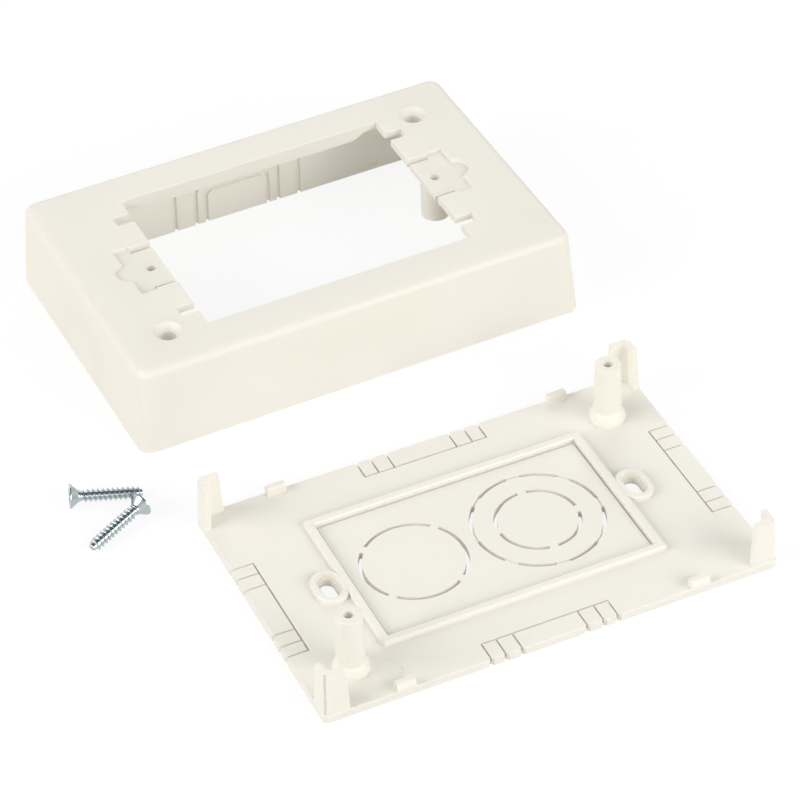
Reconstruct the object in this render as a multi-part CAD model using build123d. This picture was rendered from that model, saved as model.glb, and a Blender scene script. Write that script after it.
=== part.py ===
from build123d import *

import os
from math import atan, cos, degrees, radians, sin, tan

# Single-gang junction box for surface raceway, taken apart: a base that is screwed to the wall,
# a cover that carries one wiring device, and the two screws that hold the cover on.
# X runs along the box, Y across it, and Z up from the surface that all four pieces lie on.
# Base and cover are both modelled about the centre of the base, in the places they have when the
# box is closed, and the cover is then set down behind the base.

# Cover: outside size at the rim, and the shell
cover_length = 127.5
cover_width = 84.6
cover_height = 24.9
outer_draft = 4.0           # degrees that the walls lean inwards, outside and inside
inner_draft = 3.0
wall = 2.2                  # at the rim
skin = 2.1                  # thickness of the top
corner_radius = 3.4         # upright edges
crown_radius = 2.2          # edge between walls and top

# Cover: opening for the device
opening_length = 76.0
opening_width = 57.6
edge_rounding = 0.3
notch_inner = 19.6          # distance from the long axis at which each end notch starts
notch_width = 3.7
notch_depth = 4.8
stiffener_drop = 1.9        # rib below the skin along each long side of the opening
stiffener_thickness = 1.8
stiffener_length = 63.0
stiffener_ramp = 2.8

# Cover: seats for the ends of the device's strap
device_spacing = 83.34      # screw centres of a single-gang device, 3.281 in
device_hole = 2.8
seat_depth = 0.95
seat_width = 18.6
seat_throat = 6.0           # length of the seat that is slit free on both sides
seat_shoulder = 19.8        # width of the outer part of the seat
seat_length = 10.4          # from the end of the opening
seat_lobe_radius = 3.9
seat_lobe_setback = 0.8
seat_slit = 1.4
seat_thickness = 1.5
seat_margin = 1.1
device_boss_diameter = 7.8
device_boss_height = 11.9   # underside of the boss above the rim

# Cover screws and what takes them
screw_spacing_x = 97.1
screw_spacing_y = 54.3
screw_clearance_hole = 4.1
countersink_diameter = 7.6
countersink_angle = 82.0
screw_collar_diameter = 9.8

# Break-out sections for the raceway, as half width and height of each arch, in every wall
knockout_arches = ((9.3, 11.2), (12.4, 13.4), (18.7, 15.6))
arch_radius = 2.2
arch_groove_width = 1.0
arch_groove_depth = 0.95

# Base: plate
fit_gap = 0.35              # between the plate and the inside of the cover, at the rim
plate_thickness = 2.2
plate_corner_radius = 1.2
plate_edge_rounding = 0.25

# Base: framed panel with round knockouts
panel_length = 72.8
panel_width = 44.2
frame_width = 2.3
frame_height = 1.5
frame_rounding = 0.65
panel_score_width = 0.55
panel_score_depth = 1.0
slit_width = 1.0
score_depth = 0.35
score_width = 0.5
left_knockout_x = -19.2
left_knockout_radius = 13.95
left_tie_width = 2.1
left_tie_angles = (43, 136, 222, 307)
right_knockout_x = 15.0
right_knockout_radius = 17.35
right_tie_width = 3.3
right_tie_angles = (-4, 41, 86, 131, 176, 221, 266, 311)
inner_knockout_radius = 11.2
inner_tie_width = 2.2
inner_tie_angles = (-4, 86, 176, 266)

# Base: slots for the wall screws, long across the box
slot_spacing = 84.4
slot_width = 4.0
slot_length = 7.6
slot_sink_width = 5.4
slot_sink_length = 9.0
slot_sink_depth = 1.3
slot_collar_width = 8.2
slot_collar_length = 11.8

# Base: break-out strips along the edges, as distances of the cuts from the middle of each side
strip_cuts = (8.8, 13.2, 17.1)
strip_depth = 5.9           # from the edge of the plate
strip_groove_width = 0.45
strip_groove_depth = 1.5
strip_notch = 1.1

# Base: posts for the cover screws
post_height = 19.8
post_top_diameter = 6.85
post_foot_diameter = 7.4
post_collar_diameter = 9.5
post_collar_step = 0.9
post_collar_height = 3.2
post_edge = 0.15
pilot_hole = 2.5
pilot_floor = 3.2
post_gap = 0.1              # between a post and the collar in the cover

# Base: corner guards
guard_height = 15.0
guard_thickness = 1.5
guard_length_x = 7.0        # at the plate
guard_length_y = 6.4
guard_draft = 2.2           # degrees that the outer faces lean inwards
guard_end_draft = 3.7       # degrees that the ends of the legs lean towards the corner
guard_web = 1.4             # bevel that fills the inner corner
guard_notch = 0.9           # square cut up the outer corner, clear of the cover's rounded one

# Base: snap hooks, and their pockets in the cover
hook_position = 39.7
hook_width = 5.0
hook_thickness = 1.7
hook_height = 4.7
hook_setback = 0.1          # from the edge of the plate
nib_reach = 0.6
nib_low = 2.6
nib_high = 3.5
pocket_margin = 0.45
pocket_low = 1.6
pocket_high = 4.1
pocket_depth = 0.9

# Ejector marks on the base
ejector_radius = 3.1
ejector_depth = 0.12
ejector_places = ((-40.6, -32.5), (57.0, 22.4))

# Screws: flat head, thread-forming
screw_length = 18.5
head_diameter = 6.4
head_rim = 0.3
thread_diameter = 3.4
screw_tip_length = 1.2
screw_tip_diameter = 2.2
recess_span = 3.8
recess_width = 0.85
recess_depth = 1.9
recess_end = 1.0            # span of the recess at its floor

# Where the loose pieces lie
cover_place = (-1.1, 112.7)
cover_turn = 1.26           # degrees
screw_1_place = (-87.6, 59.6)
screw_1_turn = -16.0        # degrees, from the head to the tip
screw_2_place = (-72.3, 48.8)
screw_2_turn = -154.6

# Worked out from the sizes above
plate_length = cover_length - 2 * (wall + fit_gap)
plate_width = cover_width - 2 * (wall + fit_gap)
skin_bottom = cover_height - skin
seat_floor = cover_height - seat_depth
seat_bottom = seat_floor - seat_thickness
frame_top = plate_thickness + frame_height
screw_points = [(side * screw_spacing_x / 2, side * screw_spacing_y / 2) for side in (-1, 1)]


def between(shape, low, high):
    """A level outline raised from one height to another."""
    return extrude(Pos(0, 0, low) * shape, amount=high - low)


def leaning_block(length, width, radius, high, draft):
    """A block with evenly rounded upright edges, whose sides lean inwards from its foot."""
    block = extrude(Rectangle(length, width), amount=high, taper=draft)
    upright = [edge for edge in block.edges() if abs((edge @ 1 - edge @ 0).Z) > high / 2]
    return fillet(upright, radius)


def bevelled_block(length, width, bevel, high):
    """A leaning block whose upright edges are cut off flat."""
    outline = Rectangle(length, width)
    return extrude(chamfer(outline.vertices(), bevel), amount=high, taper=guard_draft)


def inside_of_walls(extra, high):
    """The space within the cover's walls, made larger all round by an extra."""
    inset = wall - extra
    length, width = cover_length - 2 * inset, cover_width - 2 * inset
    return leaning_block(length, width, corner_radius - inset, high, inner_draft)


def arch(half_width, height):
    """An upright outline that stands on the rim and has rounded shoulders."""
    outline = Pos(0, height / 2) * Rectangle(2 * half_width, height)
    return fillet(outline.vertices().group_by(Axis.Y)[-1], arch_radius)


def wall_grooves():
    """Grooves round each break-out arch, in the inner face of all four walls."""
    bands = Sketch()
    for half_width, height in knockout_arches:
        grown = arch(half_width + arch_groove_width / 2, height + arch_groove_width / 2)
        bands += grown - arch(half_width - arch_groove_width / 2, height - arch_groove_width / 2)
    through = extrude(Plane.XZ * bands, amount=cover_width, both=True)
    through += extrude(Plane.YZ * bands, amount=cover_length, both=True)
    layer = inside_of_walls(arch_groove_depth, skin_bottom) - inside_of_walls(0, skin_bottom)
    return through & layer


def hook_pockets():
    """Pockets in the long walls that the base's hooks snap into."""
    windows = Part()
    for x in (-hook_position, hook_position):
        outline = Pos(x, 0) * Rectangle(hook_width + 2 * pocket_margin, 2 * cover_width)
        windows += between(outline, pocket_low, pocket_high)
    return windows & (inside_of_walls(pocket_depth, skin_bottom) - inside_of_walls(0, skin_bottom))


def opening_outline():
    """The device opening, with two notches in each end."""
    outline = Rectangle(opening_length, opening_width)
    for x in (-1, 1):
        for y in (-1, 1):
            place = Pos(x * opening_length / 2, y * (notch_inner + notch_width / 2))
            outline += place * Rectangle(2 * notch_depth, notch_width)
    return outline


def seat_outline(extra=0.0):
    """The recess for the strap at the right end, a throat, a shoulder and a round lobe."""
    start = opening_length / 2
    throat = Pos(start + seat_throat / 2, 0) * Rectangle(seat_throat + 2 * extra, seat_width + 2 * extra)
    shoulder_length = seat_length - seat_throat
    shoulder = Rectangle(shoulder_length + 2 * extra, seat_shoulder + 2 * extra)
    lobe = Circle(seat_lobe_radius + extra)
    return throat + Pos(start + seat_throat + shoulder_length / 2, 0) * shoulder \
        + Pos(start + seat_length - seat_lobe_setback, 0) * lobe


def seat_slits():
    """The two slits that free the throat of a seat from the top."""
    slits = Sketch()
    for side in (-1, 1):
        place = Pos(opening_length / 2 + seat_throat / 2, side * (seat_width - seat_slit) / 2)
        slits += place * Rectangle(seat_throat, seat_slit)
    return slits


def stiffener():
    """The rib under the back edge of the opening, its ends ramped up to the skin."""
    half = stiffener_length / 2
    profile = Polyline(
        (-half - stiffener_ramp, skin_bottom),
        (-half, skin_bottom - stiffener_drop),
        (half, skin_bottom - stiffener_drop),
        (half + stiffener_ramp, skin_bottom),
        close=True,
    )
    side = make_face(profile)
    side = fillet(side.vertices().group_by(Axis.Y)[0], stiffener_ramp / 2)
    rib = extrude(Plane.XZ * side, amount=-stiffener_thickness)
    return Pos(0, opening_width / 2, 0) * rib


def both_ends(shape):
    """A shape of the right end, and the same turned half round for the left end."""
    return shape + Rot(0, 0, 180) * shape


def make_cover():
    """The cover, in its place over the base."""
    body = leaning_block(cover_length, cover_width, corner_radius, cover_height, outer_draft)
    body = fillet(body.faces().sort_by(Axis.Z)[-1].edges(), crown_radius)
    body -= inside_of_walls(0, skin_bottom)
    body -= wall_grooves()
    body -= hook_pockets()
    body += both_ends(stiffener())
    body += both_ends(between(seat_outline(seat_margin), seat_bottom, skin_bottom))
    boss = Pos(device_spacing / 2, 0) * Circle(device_boss_diameter / 2)
    body += both_ends(between(boss, device_boss_height, skin_bottom))
    for x, y in screw_points:
        collar = Pos(x, y) * Circle(screw_collar_diameter / 2)
        body += between(collar, post_height + post_gap, skin_bottom)
    body -= between(opening_outline(), seat_bottom, cover_height)
    body -= both_ends(between(seat_outline(), seat_floor, cover_height))
    body = fillet(edges_of_opening(body), edge_rounding)
    body -= both_ends(between(seat_slits(), seat_bottom, cover_height))
    hole = Pos(device_spacing / 2, 0) * Circle(device_hole / 2)
    body -= both_ends(between(hole, device_boss_height, cover_height))
    body -= countersinks()
    return body


def edges_of_opening(body):
    """The top edges round the opening and its seats."""
    top = body.faces().sort_by(Axis.Z)[-1]
    return top.inner_wires()[0].edges()


def countersinks():
    """Two screw holes, opened to a cone at the top face."""
    narrow, wide = screw_clearance_hole / 2, countersink_diameter / 2
    depth = (wide - narrow) / tan(radians(countersink_angle / 2))
    cuts = Part()
    for x, y in screw_points:
        cuts += Pos(x, y) * between(Circle(narrow), post_height, cover_height)
        cuts += Pos(x, y, cover_height - depth / 2) * Cone(narrow, wide, depth)
    return cuts


def ring_slits(radius, tie_width, tie_angles):
    """Slits through the panel round a knockout, with ties left between them."""
    ring = Circle(radius) - Circle(radius - slit_width)
    for angle in tie_angles:
        ring -= Rot(0, 0, angle) * Pos(radius, 0) * Rectangle(4 * slit_width, tie_width)
    return between(ring, 0, plate_thickness)


def round_knockouts():
    """The slits of a single knockout at the left and a double one at the right, whose outer ties are scored."""
    single = ring_slits(left_knockout_radius, left_tie_width, left_tie_angles)
    middle = right_knockout_radius - slit_width / 2
    score = Circle(middle + score_width / 2) - Circle(middle - score_width / 2)
    double = ring_slits(right_knockout_radius, right_tie_width, right_tie_angles)
    double += ring_slits(inner_knockout_radius, inner_tie_width, inner_tie_angles)
    double += between(score, plate_thickness - score_depth, plate_thickness)
    return Pos(left_knockout_x, 0) * single + Pos(right_knockout_x, 0) * double


def edge_strips():
    """Grooves that let strips of the plate's edge be broken out where a raceway enters."""
    reach = strip_cuts[-1] + strip_groove_width / 2
    bottom = plate_thickness - strip_groove_depth
    cuts = Part()
    for turn in (0, 90, 180, 270):
        edge = (plate_width if turn % 180 == 0 else plate_length) / 2
        middle = edge - strip_depth / 2
        grooves = Pos(0, edge - strip_depth) * Rectangle(2 * reach, strip_groove_width)
        notches = Sketch()
        for x in [side * cut for side in (-1, 1) for cut in strip_cuts]:
            grooves += Pos(x, middle) * Rectangle(strip_groove_width, strip_depth)
            notches += Pos(x, edge) * Rot(0, 0, 45) * Rectangle(strip_notch, strip_notch)
        cuts += Rot(0, 0, turn) * between(grooves, bottom, plate_thickness)
        cuts += Rot(0, 0, turn) * between(notches, 0, plate_thickness)
    return cuts


def post():
    """A post for a cover screw, standing on the plate, with a swollen foot."""
    foot, top = post_foot_diameter / 2, post_top_diameter / 2
    collar = post_collar_diameter / 2
    step = plate_thickness + post_collar_step
    neck = plate_thickness + post_collar_height
    side = Line((collar, plate_thickness), (collar, step))
    bulge = (collar - 0.4 * (collar - foot), (step + neck) / 2)
    shoulder = ThreePointArc((collar, step), bulge, (foot, neck))
    rest = Polyline(
        (foot, neck), (top, post_height), (0, post_height), (0, plate_thickness), (collar, plate_thickness))
    solid = revolve(Plane.XZ * make_face(side + shoulder + rest), Axis.Z)
    return chamfer(solid.edges().sort_by(Axis.Z)[-1], post_edge)


def snap_hook():
    """The hook on the back edge, an upright tongue with an outward nib."""
    outer = plate_width / 2 - hook_setback
    inner = outer - hook_thickness
    profile = Polyline(
        (inner, plate_thickness - edge_rounding),
        (outer, plate_thickness - edge_rounding),
        (outer, nib_low),
        (outer + nib_reach, nib_low + edge_rounding),
        (outer + nib_reach, nib_high - edge_rounding),
        (outer, hook_height),
        (inner + edge_rounding, hook_height),
        (inner, hook_height - edge_rounding),
        close=True,
    )
    return extrude(Plane.YZ * make_face(profile), amount=hook_width / 2, both=True)


def corner_guards():
    """L-shaped uprights at the corners, which follow the inside of the cover."""
    outer = leaning_block(plate_length, plate_width, plate_corner_radius, guard_height, guard_draft)
    inner_length, inner_width = plate_length - 2 * guard_thickness, plate_width - 2 * guard_thickness
    ring = outer - bevelled_block(inner_length, inner_width, guard_web, guard_height)
    root = plate_thickness / 2
    guards = Part()
    for x in (-1, 1):
        for y in (-1, 1):
            corner = Pos(x * plate_length / 2, y * plate_width / 2, root)
            reach = corner * Rectangle(2 * guard_length_x, 2 * guard_length_y)
            guard = ring & extrude(reach, amount=guard_height - root, taper=guard_end_draft)
            place = Pos(x * plate_length / 2, y * plate_width / 2, plate_thickness)
            notch = place * Rectangle(2 * guard_notch, 2 * guard_notch)
            guards += guard - extrude(notch, amount=guard_height, taper=-guard_draft)
    return guards


def slot_outline(length, width):
    """A slot that runs across the box, at the right end."""
    return Pos(slot_spacing / 2, 0) * Rot(0, 0, 90) * SlotOverall(length, width)


def make_base():
    """The base, lying on its back."""
    body = extrude(RectangleRounded(plate_length, plate_width, plate_corner_radius), amount=plate_thickness)
    body = fillet(body.faces().sort_by(Axis.Z)[-1].edges(), plate_edge_rounding)
    body -= edge_strips()
    frame = Rectangle(panel_length + 2 * frame_width, panel_width + 2 * frame_width)
    frame = fillet(frame.vertices(), frame_rounding) - Rectangle(panel_length, panel_width)
    ridge = between(frame, plate_thickness / 2, frame_top)
    body += fillet(ridge.faces().sort_by(Axis.Z)[-1].edges(), frame_rounding)
    score = Rectangle(panel_length, panel_width)
    score -= Rectangle(panel_length - 2 * panel_score_width, panel_width - 2 * panel_score_width)
    body -= between(score, plate_thickness - panel_score_depth, plate_thickness)
    body -= round_knockouts()
    collar = between(slot_outline(slot_collar_length, slot_collar_width), plate_thickness / 2, frame_top)
    collar = fillet(collar.faces().sort_by(Axis.Z)[-1].edges(), frame_rounding)
    body += both_ends(collar)
    sink = slot_outline(slot_sink_length, slot_sink_width)
    body -= both_ends(between(sink, frame_top - slot_sink_depth, frame_top))
    body -= both_ends(between(slot_outline(slot_length, slot_width), 0, frame_top))
    for x, y in screw_points:
        body += Pos(x, y) * post()
        body -= Pos(x, y) * between(Circle(pilot_hole / 2), pilot_floor, post_height)
    for x in (-hook_position, hook_position):
        for turn in (0, 180):
            body += Rot(0, 0, turn) * Pos(x, 0) * snap_hook()
    body += corner_guards()
    for x, y in ejector_places:
        mark = Pos(x, y) * Circle(ejector_radius)
        body -= between(mark, plate_thickness - ejector_depth, plate_thickness)
    return body


def make_screw():
    """A flat-head screw, its head at the origin and its tip up, with the thread at its full diameter."""
    head, thread = head_diameter / 2, thread_diameter / 2
    cone_end = head_rim + (head - thread) / tan(radians(countersink_angle / 2))
    profile = Polyline(
        (0, 0),
        (head, 0),
        (head, head_rim),
        (thread, cone_end),
        (thread, screw_length - screw_tip_length),
        (screw_tip_diameter / 2, screw_length),
        (0, screw_length),
        close=True,
    )
    body = revolve(Plane.XZ * make_face(profile), Axis.Z)
    cross = Rectangle(recess_span, recess_width) + Rectangle(recess_width, recess_span)
    cone = Pos(0, 0, recess_depth / 2) * Cone(recess_span / 2, recess_end / 2, recess_depth)
    return body - (between(cross, 0, recess_depth) & cone)


def lay_down(screw, x, y, turn):
    """A screw at rest on the surface, on the rim of its head and the end of its thread."""
    rise = (head_diameter - thread_diameter) / 2
    run = screw_length - screw_tip_length - head_rim
    tilt = degrees(atan(rise / run))
    height = head_diameter / 2 * cos(radians(tilt)) + head_rim * sin(radians(tilt))
    return Pos(x, y, height) * Rot(0, 0, turn) * Rot(0, 90 + tilt, 0) * screw


def main():
    parts = {
        "base": make_base(),
        "cover": Pos(cover_place[0], cover_place[1], 0) * Rot(0, 0, cover_turn) * make_cover(),
    }
    screw = make_screw()
    parts["cover_screw_1"] = lay_down(screw, *screw_1_place, screw_1_turn)
    parts["cover_screw_2"] = lay_down(screw, *screw_2_place, screw_2_turn)
    os.makedirs("parts", exist_ok=True)
    for name, shape in parts.items():
        export_step(shape, f"parts/{name}.step")
        box = shape.bounding_box()
        print(name, [round(v, 2) for v in (*box.min, *box.max)], "volume", round(shape.volume, 1))


main()
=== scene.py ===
# %% [markdown]
# # A raceway junction box, taken apart
#
# The object is a shallow wall box for surface wiring: a moulded base with break-out sections and two
# screw posts, a moulded cover with an opening for one switch or socket, and two small screws.
# All four pieces lie on one surface. The solids come from the CAD model, and this file adds
# what the eye wants on top of them: threads on the screws, finishes, light and a camera.

# %% Load the frame
import math

import bpy
import numpy as np
from mathutils import Matrix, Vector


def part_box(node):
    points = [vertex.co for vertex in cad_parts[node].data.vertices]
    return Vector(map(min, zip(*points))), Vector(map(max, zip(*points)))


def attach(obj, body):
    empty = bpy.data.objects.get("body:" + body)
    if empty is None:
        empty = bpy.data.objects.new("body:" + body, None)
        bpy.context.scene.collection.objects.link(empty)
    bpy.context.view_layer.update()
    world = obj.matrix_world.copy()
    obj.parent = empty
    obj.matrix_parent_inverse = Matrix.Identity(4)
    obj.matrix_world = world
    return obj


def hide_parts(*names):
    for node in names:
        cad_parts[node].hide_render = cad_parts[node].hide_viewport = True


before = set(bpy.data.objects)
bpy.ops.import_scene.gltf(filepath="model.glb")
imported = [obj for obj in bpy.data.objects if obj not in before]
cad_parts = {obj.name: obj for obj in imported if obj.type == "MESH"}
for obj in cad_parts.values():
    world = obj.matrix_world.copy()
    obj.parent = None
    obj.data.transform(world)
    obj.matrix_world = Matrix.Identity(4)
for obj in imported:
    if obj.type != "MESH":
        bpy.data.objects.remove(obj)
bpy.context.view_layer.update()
print("nodes", sorted(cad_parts))

# %% [markdown]
# ## Two helpers for materials
#
# A colour that is listed as a hex value is an sRGB value, but shaders calculate with linear light, so each
# hex value goes through the sRGB curve once. Materials could be built by hand in the node editor.
# Written out, one small function that adds a node, sets it and links it keeps a recipe readable.


# %% Colours and nodes
def linear(hex_colour):
    """An sRGB hex value as linear RGBA: c / 12.92 near black, and ((c + 0.055) / 1.055) ** 2.4 above."""
    srgb = np.array([int(hex_colour[k:k + 2], 16) for k in (1, 3, 5)]) / 255
    straight = np.where(srgb <= 0.04045, srgb / 12.92, ((srgb + 0.055) / 1.055) ** 2.4)
    return (*straight.tolist(), 1.0)


def add_node(tree, kind, settings=None, **inputs):
    """Adds a node. Each input is named, or i0, i1 ... by number; a value is set and an output is linked."""
    node = tree.nodes.new(kind)
    for name, value in (settings or {}).items():
        setattr(node, name, value)
    for name, value in inputs.items():
        numbered = name[0] == "i" and name[1:].isdigit()
        socket = node.inputs[int(name[1:]) if numbered else name.replace("_", " ")]
        if isinstance(value, bpy.types.NodeSocket):
            tree.links.new(value, socket)
        else:
            socket.default_value = value
    return node


white, warm_white = "#FFFFFF", "#FFFCFA"
print("linear white", linear(white), "linear ivory", [round(v, 3) for v in linear("#F2EFE5")])

# %% [markdown]
# ## Camera
#
# A catalogue picture like this is taken with a long lens, so that edges that are parallel stay nearly
# parallel. The place and lens were worked out from the photograph, from edges and holes whose
# places on the box are known. A camera could be aimed with a constraint. Its three axes are worked
# out here instead, because the picture is also turned by about two degrees.

# %% Camera
eye = np.array([-0.28638, -0.61005, 0.62504])
aim = np.array([0.004435, 0.059464, 0.0])
roll = math.radians(-2.116)
sensor_mm = 36.0
lens_mm = 165.607

ahead = (aim - eye) / np.linalg.norm(aim - eye)
level_right = np.cross(ahead, [0, 0, 1])
level_right /= np.linalg.norm(level_right)
level_up = np.cross(level_right, ahead)
right = math.cos(roll) * level_right + math.sin(roll) * level_up
up = np.cross(right, ahead)
placed = np.eye(4)
placed[:3] = np.stack([right, up, -ahead, eye], 1)

camera_data = bpy.data.cameras.new("camera")
camera_data.lens = lens_mm
camera_data.sensor_width = sensor_mm
camera_data.sensor_fit = "HORIZONTAL"
camera_data.clip_start = 0.05
camera = bpy.data.objects.new("camera", camera_data)
camera.matrix_world = Matrix(placed.tolist())
bpy.context.scene.collection.objects.link(camera)
bpy.context.scene.camera = camera
print("camera is", round(float(np.linalg.norm(aim - eye)), 3), "m from the middle of the picture")

# %% [markdown]
# ## Floor and surroundings
#
# The pieces lie on a plain white surface that runs out of the picture. A curved paper sweep would do
# the same in a studio. A flat floor is enough here, because the camera looks down on it. For the rays
# that the eye and shiny metal send out, most of it glows, so that it reads as white paper, and the rest is
# ordinary diffuse paper, which still takes the soft shadows that set the pieces down on it. The light
# that the paper throws back up on the plastic is that of a slightly greyer sheet, so that the walls
# aren't lit more from below than from the sides.
#
# The room is a pale world. What shiny metal mirrors of it is white at eye level and falls to dark
# grey overhead, like a studio with white walls and an unlit ceiling. That dark overhead is what gives
# bright zinc its hard contrast. A plain white world would turn the screws into grey paper.


# %% Floor and world
def background_rays(tree):
    """1 for camera, mirror and see-through rays, 0 for the rays that carry light between surfaces."""
    path = add_node(tree, "ShaderNodeLightPath")
    seen = add_node(tree, "ShaderNodeMath", {"operation": "MAXIMUM"},
                    i0=path.outputs["Is Camera Ray"], i1=path.outputs["Is Glossy Ray"])
    return add_node(tree, "ShaderNodeMath", {"operation": "MAXIMUM"},
                    i0=seen.outputs[0], i1=path.outputs["Is Transmission Ray"])


paper_glow = 0.86
bounce_grey = "#CCCCCC"
paper = bpy.data.materials.new("white_paper")
paper.use_nodes = True
tree = paper.node_tree
tree.nodes.clear()
seen = background_rays(tree).outputs[0]
share = add_node(tree, "ShaderNodeMath", {"operation": "MULTIPLY"}, i0=seen, i1=paper_glow)
tone = add_node(tree, "ShaderNodeMix", {"data_type": "RGBA"}, Factor=seen)
tone.inputs[6].default_value = linear(bounce_grey)
tone.inputs[7].default_value = linear(white)
matt = add_node(tree, "ShaderNodeBsdfDiffuse", Color=tone.outputs[2])
glow = add_node(tree, "ShaderNodeEmission", Color=linear(white), Strength=1.0)
mixed = add_node(tree, "ShaderNodeMixShader",
                 i0=share.outputs[0], i1=matt.outputs[0], i2=glow.outputs[0])
add_node(tree, "ShaderNodeOutputMaterial", Surface=mixed.outputs[0])

floor_half = 3.0
floor_level = -0.00002
corners = np.array([[-1, -1], [1, -1], [1, 1], [-1, 1]]) * floor_half
floor_mesh = bpy.data.meshes.new("floor")
floor_mesh.from_pydata([(x, y, floor_level) for x, y in corners.tolist()], [], [(0, 1, 2, 3)])
floor_mesh.materials.append(paper)
floor = bpy.data.objects.new("floor", floor_mesh)
bpy.context.scene.collection.objects.link(floor)

world_strength = 0.49
wall_ends, ceiling_starts = 0.25, 0.7       # as the height of a ray's direction, 0 level and 1 straight up
ceiling_strength = 0.18
world = bpy.data.worlds.new("studio_room")
bpy.context.scene.world = world
world.use_nodes = True
tree = world.node_tree
tree.nodes.clear()
room = add_node(tree, "ShaderNodeBackground", Color=linear("#F4F7FA"), Strength=world_strength)
towards = add_node(tree, "ShaderNodeTexCoord").outputs["Generated"]
direction = add_node(tree, "ShaderNodeSeparateXYZ", i0=towards)
ceiling = add_node(tree, "ShaderNodeMapRange", Value=direction.outputs["Z"],
                   From_Min=wall_ends, From_Max=ceiling_starts, To_Min=1.0, To_Max=ceiling_strength)
blank = add_node(tree, "ShaderNodeBackground", Color=linear(white), Strength=ceiling.outputs[0])
mixed = add_node(tree, "ShaderNodeMixShader",
                 i0=background_rays(tree).outputs[0], i1=room.outputs[0], i2=blank.outputs[0])
add_node(tree, "ShaderNodeOutputWorld", Surface=mixed.outputs[0])
print("floor", 2 * floor_half, "m square, world strength", world_strength)

# %% [markdown]
# ## Lamps
#
# The photograph is lit softly from both sides: faces that look left and faces that look right are
# about as bright as the top, and only the corner between them is a little darker. Two large area
# lamps stand for two softboxes, low on either side, 25 degrees above the floor. Two weaker ones, in
# front and behind, open up the insides. A single high lamp would be simpler, but then walls that stand
# upright go grey. The larger a lamp is for its distance, the softer its shadow.


# %% Softboxes
softbox_width, softbox_height = 1.2, 1.0
middle = (0.0, 0.06, 0.0)


def softbox(name, place, watts, hex_colour):
    """An area lamp at a place, turned so that its -Z axis, the side that shines, looks at the middle."""
    lamp = bpy.data.lights.new(name, "AREA")
    lamp.shape = "RECTANGLE"
    lamp.size, lamp.size_y = softbox_width, softbox_height
    lamp.energy = watts
    lamp.color = linear(hex_colour)[:3]
    back = np.array(place, float) - np.array(middle, float)
    back /= np.linalg.norm(back)
    side = np.cross([0, 0, 1], back)
    side /= np.linalg.norm(side)
    turned = np.eye(4)
    turned[:3] = np.stack([side, np.cross(back, side), back, place], 1)
    obj = bpy.data.objects.new(name, lamp)
    obj.matrix_world = Matrix(turned.tolist())
    bpy.context.scene.collection.objects.link(obj)
    print(name, "at", place, "gives", watts, "W")


softbox("softbox_left", (-1.5, 0.1, 0.75), 19.8, warm_white)
softbox("softbox_right", (0.9, -1.3, 0.75), 19.6, warm_white)
softbox("softbox_front", (0.0, -1.6, 0.7), 4.6, white)
softbox("softbox_back", (0.6, 1.5, 0.9), 7.3, white)

# %% [markdown]
# ## Ivory plastic
#
# Base and cover are injection moulded in ivory ABS. The steel mould is spark eroded, which leaves a
# fine even grain and a satin sheen. The real grain is about 0.1 mm wide and would not show, so it is
# drawn coarser. The base's mould is smoother than the cover's. The colour drifts by a percent or two
# where the melt flowed, which keeps large faces from looking dead.
#
# Pale plastic is also a little milky: light enters on one side and leaves on the other, so thin walls
# glow and shaded insides stay warm. Subsurface scattering would calculate this with care, at twice the
# time. A share of a translucent shader does it here. The share is smaller on the base, because its
# narrow holes and grooves have to stay dark.


# %% Ivory plastic
abs_ior = 1.53
flow_mm = 35.0                              # how far apart the colour's slow drift rises and falls


def moulded_abs(name, grain_mm, grain_height_mm, roughness, milkiness):
    """Moulded ABS: an ivory with a slow drift, a fine grain in sheen and bump, and a milky share."""
    made = bpy.data.materials.new(name)
    made.use_nodes = True
    tree = made.node_tree
    tree.nodes.clear()
    place = add_node(tree, "ShaderNodeTexCoord").outputs["Object"]
    flow = add_node(tree, "ShaderNodeTexNoise", Vector=place,
                    Scale=1000 / flow_mm, Detail=2.0, Roughness=0.5)
    ivory = add_node(tree, "ShaderNodeMix", {"data_type": "RGBA"}, Factor=flow.outputs["Fac"])
    ivory.inputs[6].default_value = linear("#EFECE1")
    ivory.inputs[7].default_value = linear("#F2EFE5")
    grain = add_node(tree, "ShaderNodeTexNoise", Vector=place,
                     Scale=1000 / grain_mm, Detail=3.0, Roughness=0.6)
    sheen = add_node(tree, "ShaderNodeMapRange", Value=grain.outputs["Fac"],
                     To_Min=roughness - 0.05, To_Max=roughness + 0.05)
    bump = add_node(tree, "ShaderNodeBump", Strength=1.0,
                    Distance=grain_height_mm / 1000, Height=grain.outputs["Fac"])
    shader = add_node(tree, "ShaderNodeBsdfPrincipled", Base_Color=ivory.outputs[2],
                      Roughness=sheen.outputs[0], IOR=abs_ior, Normal=bump.outputs[0])
    through = add_node(tree, "ShaderNodeBsdfTranslucent", Color=linear("#FFFEFB"))
    milky = add_node(tree, "ShaderNodeMixShader",
                     i0=milkiness, i1=shader.outputs[0], i2=through.outputs[0])
    add_node(tree, "ShaderNodeOutputMaterial", Surface=milky.outputs[0])
    return made


finishes = {
    "base": moulded_abs("moulded_abs_smooth", grain_mm=0.6, grain_height_mm=0.004,
                        roughness=0.38, milkiness=0.18),
    "cover": moulded_abs("moulded_abs_grained", grain_mm=0.7, grain_height_mm=0.010,
                         roughness=0.46, milkiness=0.3),
}
for node, finish in finishes.items():
    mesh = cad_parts[node].data
    mesh.materials.clear()
    mesh.materials.append(finish)
    low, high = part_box(node)
    extents = [round(1000 * (b - a), 1) for a, b in zip(low, high)]
    print(node, "is", extents, "mm, finished in", finish.name)

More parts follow.
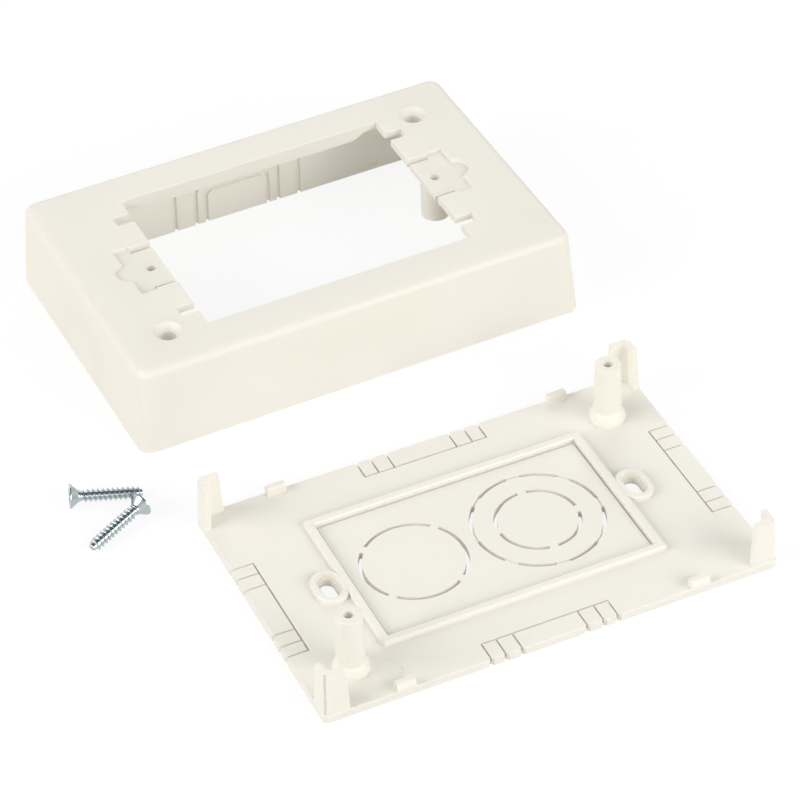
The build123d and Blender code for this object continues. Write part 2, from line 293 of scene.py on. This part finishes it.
# %% [markdown]
# ## Screws
#
# Each cover screw is a short thread-forming screw with a flat head and a cross recess. A screw like this
# is headed in a die and its thread is rolled, so it is a body of revolution with a ridge wound round it.
# It could be one mesh from a screw modifier. Here head, recess and core are one grid, and the thread
# is a second one, a small section with steep flanks carried along a helix, so the crest stays crisp.


# %% A grid as a mesh
def closed_grid(rings):
    """Faces for rings of points that each close on themselves, with both ends closed by one face."""
    levels, around = rings.shape[:2]
    index = np.arange(levels * around).reshape(levels, around)
    here, onward = index[:-1], index[1:]
    quads = np.stack([here, np.roll(here, -1, 1), np.roll(onward, -1, 1), onward], -1).reshape(-1, 4)
    return quads.tolist() + [index[0, ::-1].tolist(), index[-1].tolist()]


# %% Sizes of the screw, in millimetres
screw_length = 18.5
head_radius = 3.2
head_rim = 0.3
neck_radius = 1.5
core_radius = 1.18
tip_radius = 0.85
thread_radius = 1.7
thread_pitch = 1.27
head_angle = 82.0                           # degrees, the standard countersink for inch screws
cone_slope = math.tan(math.radians(head_angle / 2))
neck_start = head_rim + (head_radius - neck_radius) / cone_slope
tip_start = screw_length - 1.3
thread_start, thread_end = neck_start + 0.75, screw_length - 0.35
print("neck starts", round(neck_start, 2), "mm below the head's face, thread", round(thread_start, 2))


# %% Head, recess and core
def cross_radius(angle, half_span, half_width):
    """Distance from the middle to the outline of a plus sign: the larger of its two bars' outlines."""
    c, s = np.abs(np.cos(angle)) + 1e-9, np.abs(np.sin(angle)) + 1e-9
    level_bar = np.minimum(half_span / c, half_width / s)
    upright_bar = np.minimum(half_width / c, half_span / s)
    return np.maximum(level_bar, upright_bar)


def screw_body(around=192):
    """Rings from the floor of the recess, up its walls, over the head and down the core to the tip.

    Each row of a profile is a radius and a height, both in millimetres, with height 0 at the head's face.
    """
    angle = np.linspace(0, 2 * np.pi, around, endpoint=False)
    # The recess from its floor up: how deep, half the cross's span, and half the width of an arm
    depth = np.array([2.0, 1.9, 1.3, 0.7, 0.12, 0.0])
    span = np.array([0.15, 0.45, 0.95, 1.42, 1.86, 1.95])
    width = np.array([0.10, 0.26, 0.32, 0.38, 0.43, 0.50])
    inside = cross_radius(angle[None, :], span[:, None], width[:, None])
    # The head's face and rim, whose radii are shares of the head's radius
    face = np.array([(0.60, 0.0), (0.85, 0.0), (0.98, 0.0), (1.0, 0.04), (1.0, 0.26), (0.985, 0.34)])
    face[:, 0] *= head_radius
    cone_top, cone_foot = (head_radius * 0.97, head_rim + 0.12), (neck_radius + 0.05, neck_start - 0.05)
    cone = np.linspace(cone_top, cone_foot, 6)
    neck = np.array([
        (neck_radius, 0.05), (neck_radius, 0.45), (neck_radius - 0.06, 0.52),
        (core_radius + 0.04, 0.58), (core_radius, 0.66),
    ]) + [0, neck_start]
    core = np.linspace([core_radius, neck_start + 1.0], [core_radius, tip_start], 16)
    tip = np.array([(tip_radius + 0.05, -0.08), (tip_radius - 0.04, 0), (0.2, 0)]) + [0, screw_length]
    outside = np.concatenate([face, cone, neck, core, tip])
    radius = np.concatenate([inside, np.repeat(outside[:, :1], around, 1)])
    height = np.concatenate([np.repeat(depth[:, None], around, 1), np.repeat(outside[:, 1:], around, 1)])
    return np.stack([radius * np.cos(angle), radius * np.sin(angle), height], -1)


body_rings = screw_body()
print("screw body", body_rings.shape[0], "rings of", body_rings.shape[1])


# %% Thread
def screw_thread(steps_a_turn=64, sunk=0.06):
    """Sections along a helix. Each one's height grows from nothing at the neck and fades at the tip.

    Across and outward are the section's outline, along the screw in millimetres and as shares of its
    height. Its foot is sunk a little into the core, so that no gap shows.
    """
    turns = (thread_end - thread_start) / thread_pitch
    turn = np.linspace(0, turns, int(turns * steps_a_turn))
    grow = np.clip(turn / 0.6, 0.02, 1) * np.clip((turns - turn) / 1.0, 0.02, 1) ** 0.6
    along = thread_start + turn * thread_pitch
    root = np.interp(along, [tip_start, screw_length], [core_radius, tip_radius]) - sunk
    across = np.array([0.36, 0.10, 0.045, -0.045, -0.10, -0.36])
    outward = np.array([0.0, 0.90, 1.0, 1.0, 0.90, 0.0])
    tall = (thread_radius - core_radius + sunk) * grow
    radius = root[:, None] + tall[:, None] * outward
    height = along[:, None] + across * np.maximum(grow, 0.3)[:, None]
    angle = 2 * np.pi * turn[:, None] + 0 * across
    return np.stack([radius * np.cos(angle), radius * np.sin(angle), height], -1)


thread_rings = screw_thread()
turns = round((thread_end - thread_start) / thread_pitch, 1)
print("thread", turns, "turns,", thread_rings.shape[0], "sections")

# %% [markdown]
# ## Zinc-plated steel
#
# The screws are steel with a bright zinc plating, barrel plated together with hundreds of others, so
# the shine is clear but slightly broken up and has a cold, bluish cast. The plating's grain is finer
# than the picture shows and is drawn coarser, at a fifth of a millimetre.

# %% Zinc-plated steel
cloud_mm = 1.6                              # patches from rubbing in the barrel
pit_mm, pit_depth_mm = 0.2, 0.004
zinc = bpy.data.materials.new("zinc_plated_steel")
zinc.use_nodes = True
tree = zinc.node_tree
tree.nodes.clear()
place = add_node(tree, "ShaderNodeTexCoord").outputs["Object"]
clouds = add_node(tree, "ShaderNodeTexNoise", Vector=place,
                  Scale=1000 / cloud_mm, Detail=3.0, Roughness=0.6)
cast = add_node(tree, "ShaderNodeMix", {"data_type": "RGBA"}, Factor=clouds.outputs["Fac"])
cast.inputs[6].default_value = linear("#A2AEB2")
cast.inputs[7].default_value = linear("#C8D1D3")
pits = add_node(tree, "ShaderNodeTexNoise", Vector=place,
                Scale=1000 / pit_mm, Detail=2.0, Roughness=0.5)
bump = add_node(tree, "ShaderNodeBump", Strength=1.0,
                Distance=pit_depth_mm / 1000, Height=pits.outputs["Fac"])
sheen = add_node(tree, "ShaderNodeMapRange", Value=clouds.outputs["Fac"], To_Min=0.16, To_Max=0.28)
shader = add_node(tree, "ShaderNodeBsdfPrincipled", Base_Color=cast.outputs[2], Metallic=1.0,
                  Roughness=sheen.outputs[0], Normal=bump.outputs[0])
add_node(tree, "ShaderNodeOutputMaterial", Surface=shader.outputs[0])
print("material", zinc.name)

# %% [markdown]
# ## Laying the screws down
#
# A flat-head screw on a table rests on two things, the rim of its head and the last turns of its
# thread, so its axis tips down towards the tip. The tilt follows from the difference of the two radii.
# The points are turned and moved before they go into the mesh, so each object stays at the origin.

# %% Place the two screws
last_full_turn = 1.2                        # this far before the tip
tilt = math.atan((head_radius - thread_radius) / (screw_length - last_full_turn - head_rim))
rest_height = head_radius * math.cos(tilt) + head_rim * math.sin(tilt)
screw_places = {                            # x and y of the head in mm, heading and spin in degrees
    "cover_screw_1": (-87.6, 59.6, -16.0, 20.0),
    "cover_screw_2": (-72.3, 48.8, -154.6, 65.0),
}


def lay_down(points, x, y, heading, spin):
    """Spins the screw about its axis, tips the axis below level, turns it to its heading and moves it."""
    a, h = math.radians(spin), math.radians(heading)
    spun = np.array([[math.cos(a), -math.sin(a), 0], [math.sin(a), math.cos(a), 0], [0, 0, 1]])
    t = math.pi / 2 + tilt
    tipped = np.array([[math.cos(t), 0, math.sin(t)], [0, 1, 0], [-math.sin(t), 0, math.cos(t)]])
    headed = np.array([[math.cos(h), -math.sin(h), 0], [math.sin(h), math.cos(h), 0], [0, 0, 1]])
    return points @ (headed @ tipped @ spun).T + [x, y, rest_height]


points = np.concatenate([body_rings.reshape(-1, 3), thread_rings.reshape(-1, 3)])
first_of_thread = body_rings.shape[0] * body_rings.shape[1]
faces = closed_grid(body_rings)
faces += [[i + first_of_thread for i in face] for face in closed_grid(thread_rings)]
for node, pose in screw_places.items():
    laid = lay_down(points, *pose)
    mesh = bpy.data.meshes.new(node + "_threaded")
    mesh.from_pydata((laid / 1000).tolist(), [], faces)
    mesh.materials.append(zinc)
    mesh.shade_smooth()
    mesh.set_sharp_from_angle(angle=math.radians(32))
    screw = bpy.data.objects.new(node + "_threaded", mesh)
    bpy.context.scene.collection.objects.link(screw)
    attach(screw, "root")
    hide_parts(node)
    print(node, len(mesh.polygons), "faces, from", laid.min(0).round(2), "to", laid.max(0).round(2), "mm")

# %% [markdown]
# ## View transform, and the end of the file
#
# The standard view transform shows each colour as it was written.

# %% View transform
scene = bpy.context.scene
scene.view_settings.view_transform = "Standard"
